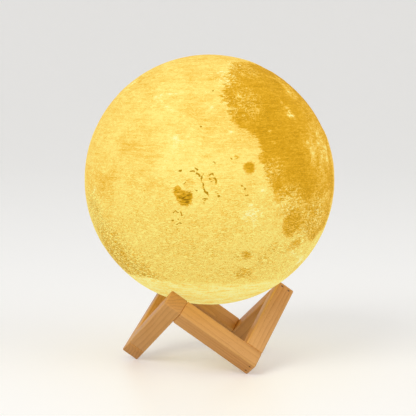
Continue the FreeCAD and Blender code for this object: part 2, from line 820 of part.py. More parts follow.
os.makedirs("parts", exist_ok=True)
for item in parts:
    item.Shape.exportStep(f"parts/{item.Label}.step")
    low, high = item.Shape.BoundBox.ZMin, item.Shape.BoundBox.ZMax
    print(f"{item.Label}: {len(item.Shape.Solids)} solids, {item.Shape.Volume:.1f} mm3, "
          f"z {low:.2f} to {high:.2f}")
print(f"globe centre at {float(globe_centre):.3f}, light base's underside at {float(underside):.3f}")
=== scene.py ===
import itertools
import math

import bmesh
import bpy
import numpy as np
from mathutils import Matrix, Vector


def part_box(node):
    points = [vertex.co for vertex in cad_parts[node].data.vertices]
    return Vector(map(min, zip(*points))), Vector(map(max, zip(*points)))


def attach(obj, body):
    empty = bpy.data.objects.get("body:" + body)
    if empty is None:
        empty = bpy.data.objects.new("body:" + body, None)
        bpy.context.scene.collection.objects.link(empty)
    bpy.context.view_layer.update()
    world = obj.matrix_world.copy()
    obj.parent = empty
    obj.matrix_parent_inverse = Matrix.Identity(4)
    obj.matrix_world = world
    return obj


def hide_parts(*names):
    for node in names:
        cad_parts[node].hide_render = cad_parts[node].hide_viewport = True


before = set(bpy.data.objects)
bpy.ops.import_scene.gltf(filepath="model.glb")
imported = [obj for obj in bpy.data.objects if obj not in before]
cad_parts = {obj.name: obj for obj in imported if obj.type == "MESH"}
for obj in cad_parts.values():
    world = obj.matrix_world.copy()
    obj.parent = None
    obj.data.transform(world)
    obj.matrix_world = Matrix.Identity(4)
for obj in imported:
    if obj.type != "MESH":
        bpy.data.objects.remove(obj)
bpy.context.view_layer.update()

# A lit moon lamp: a printed globe with the Moon's relief, glowing from inside, on a zigzag ring of
# six square wooden bars. Metres, +Z up, the photograph's view looks along +Y.

# ---- sizes, as the solids have them

GLOBE_RADIUS = 0.075
GLOBE_WALL = 0.0018
GLOBE_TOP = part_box("moon_shell")[1].z
GLOBE_CENTRE = GLOBE_TOP - GLOBE_RADIUS
MOUTH_RADIUS = 0.017
LEDGE_ABOVE_POLE = 0.0065       # the mouth's ledge, above the full sphere's lowest point
SEA_DEPTH = 0.0005

BAR_WIDTH = 0.011
BAR_LENGTH = 0.053
BAR_EASING = 0.0006
BRAD_WIDTH = 0.0012
BRAD_THICKNESS = 0.0010
BRAD_LENGTH = 0.0195
BRAD_SET = 0.0005               # below the wood
BRAD_INSET = 0.0024
BRAD_SPACING = 0.0048
RING_EDGE = BAR_LENGTH + BAR_WIDTH  # the edge of the cube that the bars lie along
CUBE_FOOT = -(BAR_LENGTH + 2.0 * BAR_EASING) / math.sqrt(3.0)
STEPS = range(3)                # the ring repeats three times round the vertical

# ---- the Moon's map: latitudes, longitudes and radii in degrees

FACE_LONGITUDE = -85.0          # turned to the front
POLE_LEAN = 17.7                # the north pole leans to the back
RELIEF_ENDS = -46.0             # the print is smooth below this latitude of the globe's own
RELIEF_FADES = 10.0
PRINT_ENDS = -47.5              # the print's threads and seas end here, its lines run on
PRINT_EDGE = 1.5
LAND_SHADE = 0.68               # from 0, dark, to 1, bright
SMOOTH_SHADE = 0.85             # below the print's end

# The shore of the Ocean of Storms: down its western side, along the south, and back in the east.
OCEAN_SHORE = [
    (58, -50), (53.9, -61), (44.3, -71.7), (34, -74.4), (28.1, -80), (22.1, -79), (18.7, -76.2),
    (12.1, -76.6), (9.2, -73.8), (7.7, -70.1), (5.4, -67.7), (1.4, -65.2), (-1.4, -64.3),
    (-4.5, -66), (-6.9, -62.4), (-9.9, -60.4), (-13.8, -59.4), (-17.4, -57.6), (-18, -54),
    (-15, -50.5), (-16.5, -45.7), (-17.5, -41.6), (-17, -37), (-22, -33), (-27, -29), (-32, -24),
    (-33, -14), (-24, -8), (-15, -14), (-6, -8), (4, -12), (12, -14), (18, -8), (28, -2), (40, -2),
    (50, -14), (56, -32),
]
# The other seas: latitude, longitude and radius. Circles that touch run together.
SEAS = [
    (28, 18, 9.5), (9, 29, 9), (3, 23, 6), (13, 38, 7), (1, 37, 6), (-6, 36, 3.5), (-15, 35, 5.5),
    (-3, 50, 8), (-12, 53, 6), (4, 47, 5), (17, 59, 7.5), (13, 4, 4), (2, 1, 3), (37, 31, 4),
    (57, -36, 4), (57, -22, 4), (58, -8, 3.5), (57, 6, 4), (56, 19, 4), (53, 31, 4), (-20, -13, 8),
    (-26, -20, 6), (-11, -12, 4), (-28.6, -41.8, 5.6), (57, 81, 3.5), (13, 86, 4), (-1, 87, 5.5),
    (6, 68, 2.5), (-38, 92, 4), (-45, 86, 3.5), (-48, 97, 3), (27, 148, 4.5), (-34, 164, 4),
    (-20, 129, 2.6), (5, 140, 2), (-57, 163, 4),
]
# Where land and sea are strewn over each other: latitude, longitude and radius.
BROKEN_SHORES = [
    (22, -71, 11), (-19, -47, 9), (-24, -26, 11), (46, -64, 9), (-8, -58, 6), (36, -76.5, 7),
]
# Country without a shore: latitude, longitude, radius and how much darker it is, or lighter.
STAINS = [
    (-22, -28, 15, 0.14), (-52, -170, 24, 0.11), (-38, 90, 9, 0.15), (12, -110, 13, -0.07),
    (-46.5, -63, 4.4, 0.50), (-37.4, -31.7, 3, 0.20), (-40.8, -47.6, 2.6, 0.14),
    (-48.2, -50.5, 2.6, 0.14), (-41.5, -69.8, 1.8, 0.12), (2, -4, 12, 0.12),
    (-20, -54.5, 2.6, 0.20), (-24.5, -51, 3, 0.16), (-26, -95, 12, -0.10), (-14, -138, 9, 0.12),
    (-33, -48, 9, -0.05), (-57, -58, 4, 0.25), (37, -82, 6, 0.12), (38, -88, 9, 0.05),
    (-4, -120, 14, 0.08), (-15.6, -95.8, 3.2, 0.14), (-38, -161, 12, 0.16), (-34.5, -161, 2, 0.12),
]
# The sea in the middle of the great western basin, and the short dark arcs of its rings.
WEST_SEA = [
    (-18, -102.9), (-16.4, -101.6), (-16.3, -100.2), (-17.9, -99.1), (-18.7, -97.8),
    (-18.2, -97.6), (-18.4, -93.9), (-20.1, -94.4), (-21.9, -94.8), (-24, -95.9), (-23.9, -99.3),
    (-21.1, -101.3), (-19.2, -101.9),
]
DARK_STROKES = [
    [(-9.5, -99.7), (-9.5, -98.4)], [(-9.8, -94.6), (-10, -93.1)],
    [(-9, -92.6), (-9.6, -91.9)], [(-11.1, -92), (-11.9, -90.7)],
    [(-11.4, -89.4), (-13.1, -90.3), (-14.2, -90.1), (-15.1, -89.6), (-16.8, -89.5),
     (-18.2, -88.6), (-20.2, -87.2)],
    [(-16.9, -90.2), (-17.1, -89.1)], [(-21.7, -89.5), (-21.6, -87.7)],
    [(-22.8, -89.2), (-22.4, -88.9)], [(-11.7, -86.7), (-11.3, -86), (-11.3, -85.3)],
    [(-13.2, -86.5), (-13, -84.9), (-13.6, -84.2), (-14.5, -83.8), (-15.4, -84)],
    [(-14.2, -85.9), (-14.1, -85.3)], [(-6.2, -85.2), (-6.7, -84.3)],
    [(-18.8, -83.5), (-19.7, -82.9), (-20.6, -82.3)], [(-4.7, -77.8), (-4.6, -77.4)],
    [(-17.6, -93.3), (-18.1, -92.5)], [(-13.8, -96.1), (-13.5, -95.8)],
    [(-14.9, -97.8), (-14.5, -97.2)],
    [(-27.1, -104), (-26.2, -103.2), (-26.3, -102.5), (-27.2, -101.6), (-27.2, -100.3),
     (-28.4, -100)],
    [(-30.2, -105.2), (-30.3, -104.7)], [(-32.1, -103.1), (-31.8, -100.9)],
    [(-29.9, -102), (-29.6, -101.7)], [(-15.5, -73), (-16.1, -72.2)],
    [(-16.9, -71.2), (-17.6, -70.8)], [(-19.4, -70.3), (-19.3, -69.5)],
    [(27.7, -85.4), (27.7, -85.1)], [(32.1, -78.8), (32.2, -78.5)], [(9, -90.3), (9, -90)],
]
STROKE_WIDTH = 0.35             # from a dark stroke's middle to its edge, in degrees
# Short bright lines in the seas: how bright, half their width, and the points they run through.
BRIGHT_STROKES = [
    (0.95, 0.5, [(18.4, -48.2), (19.2, -44.6)]), (0.95, 0.5, [(20.2, -46.4), (18.8, -46.4)]),
    (0.85, 0.35, [(20.8, -47.1), (22.2, -45.7)]), (0.72, 0.5, [(5.3, -36.3), (3.1, -36.2)]),
    (0.66, 0.5, [(1.9, -36.2), (-0.4, -35.6)]), (0.75, 0.6, [(7.2, -20.4), (3.1, -18.3)]),
    (0.62, 0.5, [(10.6, -35.4), (8.5, -36.4)]), (0.64, 0.5, [(10.6, -27.4), (9, -26.5)]),
    (0.58, 0.4, [(18.7, -24.5), (16.6, -25.1)]),
]
DARK_SPOT = (-4.1, -75.5, 0.8)  # a lone dark dot: latitude, longitude and radius
# Dark-floored craters: latitude, longitude and radius.
DARK_FLOORS = [(-8.0, -69.8, 2.6), (51.6, -9.3, 1.7)]
# Bright young craters: latitude, longitude, radius and how far their rays reach.
BRIGHT_SPOTS = [
    (19.5, -46.5, 1.4, 8), (19.2, -48, 1.1, 3), (19.2, -44.6, 1.1, 3), (25.6, -49.5, 0.6, 2),
    (23, -47.2, 0.9, 2), (9, -60, 0.9, 2), (6.8, -77.8, 0.9, 4), (18.4, -85.4, 1.2, 6),
    (-16.9, -62.6, 0.9, 4), (-8.8, -59.6, 0.5, 2), (-3.8, -63.6, 0.6, 2), (-27.3, -66.4, 4.2, 13),
    (4.4, -100.9, 1.4, 6), (26, -113.2, 0.9, 16), (18.8, -64.7, 0.9, 2.5), (4.4, -58.3, 0.8, 2.5),
    (21.2, -73.2, 0.8, 2), (26.8, -73.2, 0.8, 2), (24.8, -68.6, 0.8, 2), (40.2, -67.1, 0.8, 2),
    (4.1, -20.5, 1.6, 9), (9.6, -20, 2, 16), (8, -38, 1, 8), (3.7, -35, 1.6, 6),
    (9.5, -28.6, 1.4, 6), (-43, -11, 2.4, 40), (16, 47, 1, 9), (-9, 61, 1.4, 8),
    (-31, 61, 1.6, 12), (62, 100, 1.8, 20), (-35, 130, 1.4, 10), (20, 178, 1.6, 14),
    (-10, -150, 1.4, 12), (42, -140, 1.5, 14),
]
# Lighter ground without a middle: latitude, longitude, radius and how light.
VEILS = [
    (6, -28, 15, 0.12), (24, -26, 12, 0.07), (-16, -22, 13, 0.10), (-8, -95, 22, 0.03),
    (33, -38, 5, 0.06),
]
# Long pale streaks: how light, how wide, and the points they run through.
PALE_STROKES = [
    (0.17, 1.2, [(44, -48.5), (42.5, -41), (37.9, -38.9), (31.4, -38.5)]),
    (0.15, 1.2, [(43.3, -37.6), (37.4, -36.2), (31.8, -35.3)]),
    (0.18, 1.7, [(46.1, -36.7), (43, -32.5), (39, -31.6), (34, -32.1)]),
    (0.08, 1.3, [(16, -36), (8, -33.5), (0, -33)]),
    (0.07, 1, [(26, -113.2), (26.9, -99), (26.7, -85.1)]),
    (0.06, 1, [(26, -113.2), (19, -106), (15, -98)]),
]
# Rough, darker country: latitude, longitude and radius.
ROUGH_PATCHES = [(-40, -170, 20), (-22, -160, 12), (-54, -158, 13)]

# ---- noise on the sphere

LATTICE = 32
LAYER_SHIFT = 7.3               # in cells, so that no two layers' lattices line up


def smooth_step(share):
    return share * share * (3.0 - 2.0 * share)


def ease(low, high, value):
    """0 up to low, 1 from high on, and smooth between them."""
    return smooth_step(np.clip((value - low) / (high - low), 0.0, 1.0))


def fade(low, high, value):
    """1 up to low, 0 from high on, and smooth between them."""
    return 1.0 - ease(low, high, value)


def lattice_noise(points, seed):
    """Smooth noise from -1 to 1, one cell a unit wide, repeated every LATTICE cells."""
    values = np.random.default_rng(seed).uniform(-1.0, 1.0, (LATTICE, LATTICE, LATTICE))
    cell = np.floor(points).astype(int)
    share = smooth_step(points - cell)
    total = np.zeros(len(points))
    for corner in itertools.product((0, 1), repeat=3):
        weight = np.ones(len(points))
        for axis in range(3):
            weight *= share[:, axis] if corner[axis] else 1.0 - share[:, axis]
        at = (cell + np.array(corner)) % LATTICE
        total += weight * values[at[:, 0], at[:, 1], at[:, 2]]
    return total


def cloud_noise(points, cells, seed, octaves=4, gain=0.55):
    """Several layers of noise, each twice as fine as the last; the first has cells in a unit."""
    total, size, strength = np.zeros(len(points)), 0.0, 1.0
    for octave in range(octaves):
        shifted = points * cells * 2.0 ** octave + LAYER_SHIFT * (octave + 1)
        total += strength * lattice_noise(shifted, seed + octave)
        size += strength
        strength *= gain
    return total / size


# ---- places on the Moon, as directions from the globe's centre

# Turns the lamp's directions into the Moon's own axes: X to longitude 0, Z to the pole.
MOON_TURN = np.array(Matrix.Rotation(math.radians(FACE_LONGITUDE + 90.0), 3, "Z")
                     @ Matrix.Rotation(math.radians(POLE_LEAN), 3, "X"))
DEGREE = GLOBE_RADIUS * math.radians(1.0)  # in metres, along the globe


def moon_point(latitude, longitude):
    latitude, longitude = math.radians(latitude), math.radians(longitude)
    return np.array([math.cos(latitude) * math.cos(longitude),
                     math.cos(latitude) * math.sin(longitude), math.sin(latitude)])


def moon_points(places):
    return np.array([moon_point(*place) for place in places])


def lamp_points(places):
    """Where places on the Moon's map lie on the globe, in the lamp's own axes."""
    centre = Vector((0.0, 0.0, GLOBE_CENTRE))
    return [Vector(GLOBE_RADIUS * MOON_TURN.T @ moon_point(*place)) + centre for place in places]


def degrees_apart(moon, latitude, longitude):
    return np.degrees(np.arccos(np.clip(moon @ moon_point(latitude, longitude), -1.0, 1.0)))


def around(moon, places):
    """For each listed place, the points' degrees from it and the rest of its row."""
    for latitude, longitude, *rest in places:
        yield (degrees_apart(moon, latitude, longitude), *rest)


def flat_map(moon, latitude, longitude):
    """Places on a plane that touches the Moon, in degrees east and north of where it touches."""
    out = moon_point(latitude, longitude)
    east = np.array([-math.sin(math.radians(longitude)), math.cos(math.radians(longitude)), 0.0])
    north = np.cross(out, east)
    angle = np.arccos(np.clip(moon @ out, -1.0, 1.0))
    reach = np.degrees(angle) / np.maximum(np.sin(angle), 1e-6)
    return np.stack([moon @ east * reach, moon @ north * reach], axis=1)


def distance_to(places, start, end):
    """How far each flat place is from a straight line's nearest point."""
    run = end - start
    share = np.clip((places - start) @ run / (run @ run), 0.0, 1.0)
    return np.linalg.norm(places - start - share[:, None] * run, axis=1)


def stroke_distance(moon, stroke):
    """Degrees from each place to a line through (latitude, longitude) points."""
    middle = np.mean(stroke, axis=0)
    places, points = flat_map(moon, *middle), flat_map(moon_points(stroke), *middle)
    return np.min([distance_to(places, *pair) for pair in zip(points, points[1:])], axis=0)


def inside_depth(moon, shore):
    """Degrees inside a closed outline of (latitude, longitude) corners; negative outside."""
    middle = np.mean(shore, axis=0)
    places, corners = flat_map(moon, *middle), flat_map(moon_points(shore), *middle)
    nearest = np.full(len(places), 1e9)
    inside = np.zeros(len(places), bool)
    for start, end in zip(corners, np.roll(corners, -1, axis=0)):
        nearest = np.minimum(nearest, distance_to(places, start, end))
        crosses = (start[1] > places[:, 1]) != (end[1] > places[:, 1])
        rise = end[1] - start[1] if end[1] != start[1] else 1e-9
        across = start[0] + (places[:, 1] - start[1]) * (end[0] - start[0]) / rise
        inside ^= crosses & (places[:, 0] < across)
    return np.where(inside, nearest, -nearest)


# ---- the Moon's seas, pale ground and craters

SHORE_WANDER = 2.2              # degrees, round a sea of WANDER_RADIUS or more
WANDER_RADIUS = 6.0
SHORE_FRAY = 2.0                # degrees
SEA_MERGE = 0.9                 # how widely seas that touch run together, in degrees
SHORE_SLOPE = 1.5               # half the width of the slope down to a sea, in degrees
MARK_GROWTH = 0.3
MARK_FRAY = 0.5
FAR_ASHORE = -9.0               # a sea's or a mark's depth where there is none near
SPOT_LIGHT = 0.22
RAY_LIGHT = 0.09
RAY_WAVES = (5.0, 9.0)          # round a young crater; where both are high, there is a ray

# Fields of craters: the seed, how many, and the smallest and the largest radius in degrees.
LARGE_CRATERS = (5, 140, 2.2, 7.0)
SMALL_CRATERS = (6, 1500, 0.7, 2.4)
FEW_LARGE = 3.0                 # the higher, the fewer of a field's craters are large
# A crater's shape and shades, in shares of its radius, its depth and its contrast.
BOWL = (0.35, 1.0)              # from the flat floor's edge to the rim's inner edge
RIM_RADIUS = 1.05
RIM_WIDTH = 0.22
RIM_HEIGHT = 0.45
RIM_LIGHT = 0.55
BOWL_SHADE = 0.7

# Heights of the relief, in metres.
LARGE_DEPTH = 0.00038
SMALL_DEPTH = 0.00018
LAND_GRAIN = 0.00012
SWELL = 0.00016

# What shades the country.
BROAD_SHADE = 0.20
FINE_SHADE = 0.12
LARGE_SHADE = 0.04
SMALL_SHADE = 0.05
CALM_PLACE = (-17.0, -80.0)     # the craters' shades are faint round here
CALM_ENDS = (60.0, 110.0)       # and stronger by RUGGED between these angles from it
RUGGED = 3.0
STAIN_WANDER = 5.0              # degrees
FLOOR_DARKNESS = 0.50
ROUGH_DARKNESS = 0.10
ROUGH_WANDER = 6.0              # degrees
ROUGH_LATITUDES = (-35.0, 15.0)  # the globe's own: rough up to the first, plain from the second


def sea_depth(moon):
    """How far inside a sea's shore each place lies, in degrees; negative on land."""
    depth = inside_depth(moon, OCEAN_SHORE)
    wander = SHORE_WANDER * cloud_noise(moon, cells=5.0, seed=15, octaves=3)
    for apart, radius in around(moon, SEAS):
        circle = radius - apart + wander * min(1.0, radius / WANDER_RADIUS)
        depth = np.logaddexp(depth / SEA_MERGE, circle / SEA_MERGE) * SEA_MERGE
    return depth + SHORE_FRAY * cloud_noise(moon, cells=9.0, seed=11, gain=0.7)


def mark_depth(moon):
    """How far inside a small dark mark each place lies, in degrees; negative outside."""
    depth = inside_depth(moon, WEST_SEA) + MARK_GROWTH
    depth = depth + MARK_FRAY * cloud_noise(moon, cells=24.0, seed=61, gain=0.8)
    latitude, longitude, radius = DARK_SPOT
    return np.maximum(depth, radius - degrees_apart(moon, latitude, longitude))


def pale_ground(moon, fine):
    """How much lighter young craters, veils and streaks make each place, and the veils' part."""
    pale = np.zeros(len(moon))
    for latitude, longitude, radius, reach in BRIGHT_SPOTS:
        places = flat_map(moon, latitude, longitude)
        apart = np.linalg.norm(places, axis=1)
        angle = np.arctan2(places[:, 1], places[:, 0])
        rays = 0.5 + 0.5 * (np.sin(angle * RAY_WAVES[0] + latitude)
                            * np.sin(angle * RAY_WAVES[1] + longitude))
        spot = fade(0.2 * radius, 1.5 * radius, apart + 1.2 * fine)
        pale += SPOT_LIGHT / max(1.0, radius / 2.0) * spot
        pale += RAY_LIGHT * rays * fade(0.0, reach, apart) * (1.0 + 1.2 * fine)
    veiled = np.zeros(len(moon))
    for apart, radius, light in around(moon, VEILS):
        veil = light * fade(0.4, 1.2, apart / radius)
        pale += veil * (0.9 + 1.6 * fine)
        veiled += veil
    for light, width, stroke in PALE_STROKES:
        near = stroke_distance(moon, stroke) + fine
        pale += light * fade(0.3, 1.4, near / width) * (1.0 + fine)
    return pale, veiled


def crater_field(moon, seed, count, smallest, largest):
    """Heights and shades of a random field of craters."""
    random = np.random.default_rng(seed)
    height, shade = np.zeros(len(moon)), np.zeros(len(moon))
    for _ in range(count):
        out = random.normal(size=3)
        out /= np.linalg.norm(out)
        radius = smallest * (largest / smallest) ** (random.random() ** FEW_LARGE)
        fresh = random.random()
        near = moon @ out > math.cos(math.radians(2.0 * radius))
        apart = np.degrees(np.arccos(np.clip(moon[near] @ out, -1.0, 1.0))) / radius
        bowl = fade(*BOWL, apart)
        rim = np.exp(-((apart - RIM_RADIUS) / RIM_WIDTH) ** 2)
        depth = (0.4 + 0.6 * fresh) * math.sqrt(radius / largest)
        height[near] += depth * (RIM_HEIGHT * rim - bowl)
        shade[near] += (0.3 + 0.7 * fresh) * (RIM_LIGHT * rim - BOWL_SHADE * bowl)
    return height, shade


def moon_surface(directions):
    """Each place's height, in metres, and the fields that its shade comes from."""
    moon = directions @ MOON_TURN.T
    own_latitude = np.degrees(np.arcsin(np.clip(directions[:, 2], -1.0, 1.0)))
    raised = ease(RELIEF_ENDS - RELIEF_FADES, RELIEF_ENDS, own_latitude)
    sea = sea_depth(moon)
    land = fade(-SHORE_SLOPE, SHORE_SLOPE, sea)
    broad = cloud_noise(moon, cells=2.6, seed=31)
    fine = cloud_noise(moon, cells=14.0, seed=41, gain=0.7)
    printed = ease(PRINT_ENDS - PRINT_EDGE, PRINT_ENDS + PRINT_EDGE,
                   own_latitude + 3.0 * broad + 2.0 * fine)
    large_height, large_shade = crater_field(moon, *LARGE_CRATERS)
    small_height, small_shade = crater_field(moon, *SMALL_CRATERS)

    rugged = 1.0 + RUGGED * ease(*CALM_ENDS, degrees_apart(moon, *CALM_PLACE))
    shade = LAND_SHADE + BROAD_SHADE * broad + FINE_SHADE * fine
    shade += rugged * (LARGE_SHADE * large_shade + SMALL_SHADE * small_shade)
    for apart, radius, darkness in around(moon, STAINS):
        apart = apart + min(STAIN_WANDER, radius) * (broad + 0.6 * fine)
        shade -= darkness * fade(0.55, 1.25, apart / radius)
    for apart, radius in around(moon, DARK_FLOORS):
        shade -= FLOOR_DARKNESS * fade(0.8, 1.15, apart / radius + 0.15 * fine)

    speckled = np.zeros(len(moon))
    for apart, radius in around(moon, ROUGH_PATCHES):
        speckled = np.maximum(speckled, fade(0.3 * radius, 1.3 * radius,
                                             apart + ROUGH_WANDER * broad))
    shade -= ROUGH_DARKNESS * speckled
    rough = 0.30 + 0.60 * fade(*ROUGH_LATITUDES, own_latitude) + 0.7 * speckled
    broken = np.zeros(len(moon))
    for apart, radius in around(moon, BROKEN_SHORES):
        broken = np.maximum(broken, fade(0.4, 1.3, apart / radius))

    height = -SEA_DEPTH * (1.0 - land) + LARGE_DEPTH * large_height + SMALL_DEPTH * small_height
    height += LAND_GRAIN * fine * land + SWELL * broad - SWELL
    pale, veiled = pale_ground(moon, fine)
    smooth = 1.0 - printed
    fields = {
        "shade": shade * printed + smooth * SMOOTH_SHADE,
        "pale": pale * printed,
        "sea": (sea + 2.0 * broken) * printed + FAR_ASHORE * smooth,
        "marks": mark_depth(moon),
        "rough": rough * (0.25 + 0.75 * printed),
        "broken": broken * printed,
        "web": (1.5 * broken + 7.0 * veiled) * printed,
        "smooth": smooth,
    }
    return height * raised, fields


# ---- meshes

def placed(name, data):
    """A new object in the scene, at the origin."""
    item = bpy.data.objects.new(name, data)
    bpy.context.scene.collection.objects.link(item)
    return item


def shade_smooth(mesh):
    mesh.polygons.foreach_set("use_smooth", [True] * len(mesh.polygons))


def give_material(mesh, material):
    """One material for the whole of a mesh."""
    mesh.materials.clear()
    mesh.materials.append(material)
    mesh.polygons.foreach_set("material_index", [0] * len(mesh.polygons))


def mesh_object(name, points, faces):
    mesh = bpy.data.meshes.new(name)
    mesh.from_pydata(points, [], faces)
    shade_smooth(mesh)
    mesh.update()
    return placed(name, mesh)


def set_field(mesh, name, values):
    """A number, or a set of three, for each point of a mesh."""
    values = np.asarray(values, np.float32)
    kind, key = ("FLOAT", "value") if values.ndim == 1 else ("FLOAT_VECTOR", "vector")
    mesh.attributes.new(name, kind, "POINT").data.foreach_set(key, values.ravel())


def stood_for(piece, body, slot, *replaced):
    """A piece that rides on a body in the place of the CAD nodes that it replaces."""
    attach(piece, body)
    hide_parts(*replaced)
    return piece


# ---- the globe

COLUMNS = 360
OUTER_RINGS = 208
INNER_RINGS = 20
SHARP_GLOBE_EDGE = 50.0         # degrees
# The fields on the globe's plain inside.
INSIDE_FIELDS = {"shade": SMOOTH_SHADE, "pale": 0.0, "sea": FAR_ASHORE, "marks": FAR_ASHORE,
                 "rough": 0.2, "broken": 0.0, "web": 0.0, "smooth": 0.0}


def globe():
    """The printed globe: its outside with the Moon's relief, its mouth, ledge and inside."""
    inner = GLOBE_RADIUS - GLOBE_WALL
    ledge = LEDGE_ABOVE_POLE - GLOBE_RADIUS
    mouth_angle = -math.acos(MOUTH_RADIUS / GLOBE_RADIUS)
    ledge_angle = math.asin(ledge / inner)
    turns = 2.0 * math.pi * np.arange(COLUMNS) / COLUMNS
    latitudes = mouth_angle + (math.pi / 2.0 - mouth_angle) * np.arange(OUTER_RINGS) / OUTER_RINGS
    across, up = np.meshgrid(turns, latitudes)
    level = np.cos(up)
    outside = np.stack([level * np.cos(across), level * np.sin(across), np.sin(up)], axis=2)
    outside = np.vstack([outside.reshape(-1, 3), [[0.0, 0.0, 1.0]]])
    height, fields = moon_surface(outside)
    outside = outside * (GLOBE_RADIUS + height)[:, None]

    profile = [(MOUTH_RADIUS, ledge)]
    for number in range(INNER_RINGS):
        angle = ledge_angle + (math.pi / 2.0 - ledge_angle) * number / INNER_RINGS
        profile.append((inner * math.cos(angle), inner * math.sin(angle)))
    inside = [(radius * math.cos(turn), radius * math.sin(turn), z) for radius, z in profile
              for turn in turns]
    inside.append((0.0, 0.0, inner))
    points = np.vstack([outside, np.array(inside)])
    points[:, 2] += GLOBE_CENTRE

    # Each ring's first point, up the outside and then down the inside.
    count = len(outside)
    rise = [number * COLUMNS for number in range(OUTER_RINGS)]
    fall = [count + number * COLUMNS for number in reversed(range(len(profile)))]
    columns = [(column, (column + 1) % COLUMNS) for column in range(COLUMNS)]
    faces = []
    for low, high in [*zip(rise, rise[1:]), *zip(fall, fall[1:]), (fall[-1], rise[0])]:
        faces += [(low + here, low + after, high + after, high + here) for here, after in columns]
    for here, after in columns:
        faces.append((rise[-1] + here, rise[-1] + after, count - 1))
        faces.append((fall[0] + after, fall[0] + here, len(points) - 1))

    item = mesh_object("globe", points.tolist(), faces)
    item.data.set_sharp_from_angle(angle=math.radians(SHARP_GLOBE_EDGE))
    for name, plain in INSIDE_FIELDS.items():
        set_field(item.data, name, np.concatenate([fields[name], np.full(len(inside), plain)]))
    give_material(item.data, moon_print())
    return stood_for(item, "globe", "moon_print", "moon_shell")


# ---- materials

def linear(colour):
    """A screen colour, 0 to 255, as the numbers that the nodes use."""
    made = []
    for channel in colour:
        share = channel / 255.0
        made.append(share / 12.92 if share <= 0.04045 else ((share + 0.055) / 1.055) ** 2.4)
    return (*made, 1.0)


def dimmed(colour, share):
    return tuple(share * channel for channel in colour)


def add_node(tree, kind, inputs=(), **properties):
    """A node with its inputs set or linked, each given by its name or its number."""
    made = tree.nodes.new(kind)
    for name, value in properties.items():
        setattr(made, name, value)
    for socket, value in inputs:
        if isinstance(value, bpy.types.NodeSocket):
            tree.links.new(value, made.inputs[socket])
        else:
            made.inputs[socket].default_value = value
    return made


class Finish:
    """One material and the nodes that make it."""

    def __init__(self, name, **settings):
        self.material = bpy.data.materials.new(name)
        self.material.use_nodes = True
        self.tree = self.material.node_tree
        self.shader = self.tree.nodes["Principled BSDF"]
        for socket, value in settings.items():
            self.shader.inputs[socket.replace("_", " ")].default_value = value

    def node(self, kind, inputs=(), **properties):
        return add_node(self.tree, f"ShaderNode{kind}", inputs, **properties)

    def feed(self, socket, value):
        """Link a value to the shader."""
        self.tree.links.new(value, self.shader.inputs[socket])

    def bump(self, height, distance, strength):
        made = self.node("Bump", [("Height", height), ("Distance", distance),
                                  ("Strength", strength)])
        self.feed("Normal", made.outputs[0])

    # Places and patterns on the piece

    def own_place(self):
        return self.node("TexCoord").outputs["Object"]

    def place(self, scale=(1.0, 1.0, 1.0), source=None):
        """The piece's own places, or a source's, stretched by a scale."""
        if source is None:
            source = self.own_place()
        return self.node("Mapping", [("Vector", source), ("Scale", scale)]).outputs[0]

    def field(self, name, output="Fac"):
        return self.node("Attribute", attribute_name=name).outputs[output]

    def noise(self, where, scale, detail=3.0, roughness=0.6, distortion=0.0, output="Fac"):
        return self.node("TexNoise", [
            ("Vector", where), ("Scale", scale), ("Detail", detail), ("Roughness", roughness),
            ("Distortion", distortion)]).outputs[output]

    def line_distance(self, where, points):
        """How far a place is from a line through points."""
        nearest = None
        for start, end in zip(points, points[1:]):
            run = end - start
            out = self.vector("SUBTRACT", where, start)
            share = self.vector("DOT_PRODUCT", out, run / run.length_squared, "Value")
            share = self.node("Clamp", [("Value", share)]).outputs[0]
            along = self.node("VectorMath", [(0, run), ("Scale", share)],
                              operation="SCALE").outputs[0]
            apart = self.vector("DISTANCE", out, along, "Value")
            nearest = apart if nearest is None else self.calc("MINIMUM", nearest, apart)
        return nearest

    # Work on numbers, on vectors and on colours

    def calc(self, operation, first, second=0.0, third=0.0):
        return self.node("Math", [(0, first), (1, second), (2, third)],
                         operation=operation).outputs[0]

    def plus(self, first, second):
        return self.calc("ADD", first, second)

    def times(self, first, second, more=None):
        """One number times another, with more added to it."""
        if more is None:
            return self.calc("MULTIPLY", first, second)
        return self.calc("MULTIPLY_ADD", first, second, more)

    def centred(self, noise):
        return self.calc("SUBTRACT", noise, 0.5)

    def vector(self, operation, first, second, output="Vector"):
        return self.node("VectorMath", [(0, first), (1, second)],
                         operation=operation).outputs[output]

    def span(self, value, low, high, to_low=0.0, to_high=1.0):
        """A smooth step from one number to another, over a span of the value."""
        return self.node("MapRange", [
            ("Value", value), ("From Min", low), ("From Max", high), ("To Min", to_low),
            ("To Max", to_high)], interpolation_type="SMOOTHSTEP").outputs[0]

    def inside(self, depth, edge):
        """1 inside an outline and 0 outside it, softened over its edge."""
        return self.span(depth, -edge, edge)

    def blend(self, share, first, second):
        return self.node("Mix", [(0, share), (2, first), (3, second)]).outputs[0]

    def mix(self, share, first, second, blend="MIX"):
        return self.node("Mix", [(0, share), (6, first), (7, second)],
                         data_type="RGBA", blend_type=blend).outputs[2]

    def ramp(self, value, stops):
        made = self.node("ValToRGB", [("Fac", value)])
        steps = made.color_ramp.elements
        while len(steps) < len(stops):
            steps.new(0.5)
        for step, (place, colour) in zip(steps, stops):
            step.position = place
            step.color = linear(colour)
        return made.outputs["Color"]


# ---- the globe's print

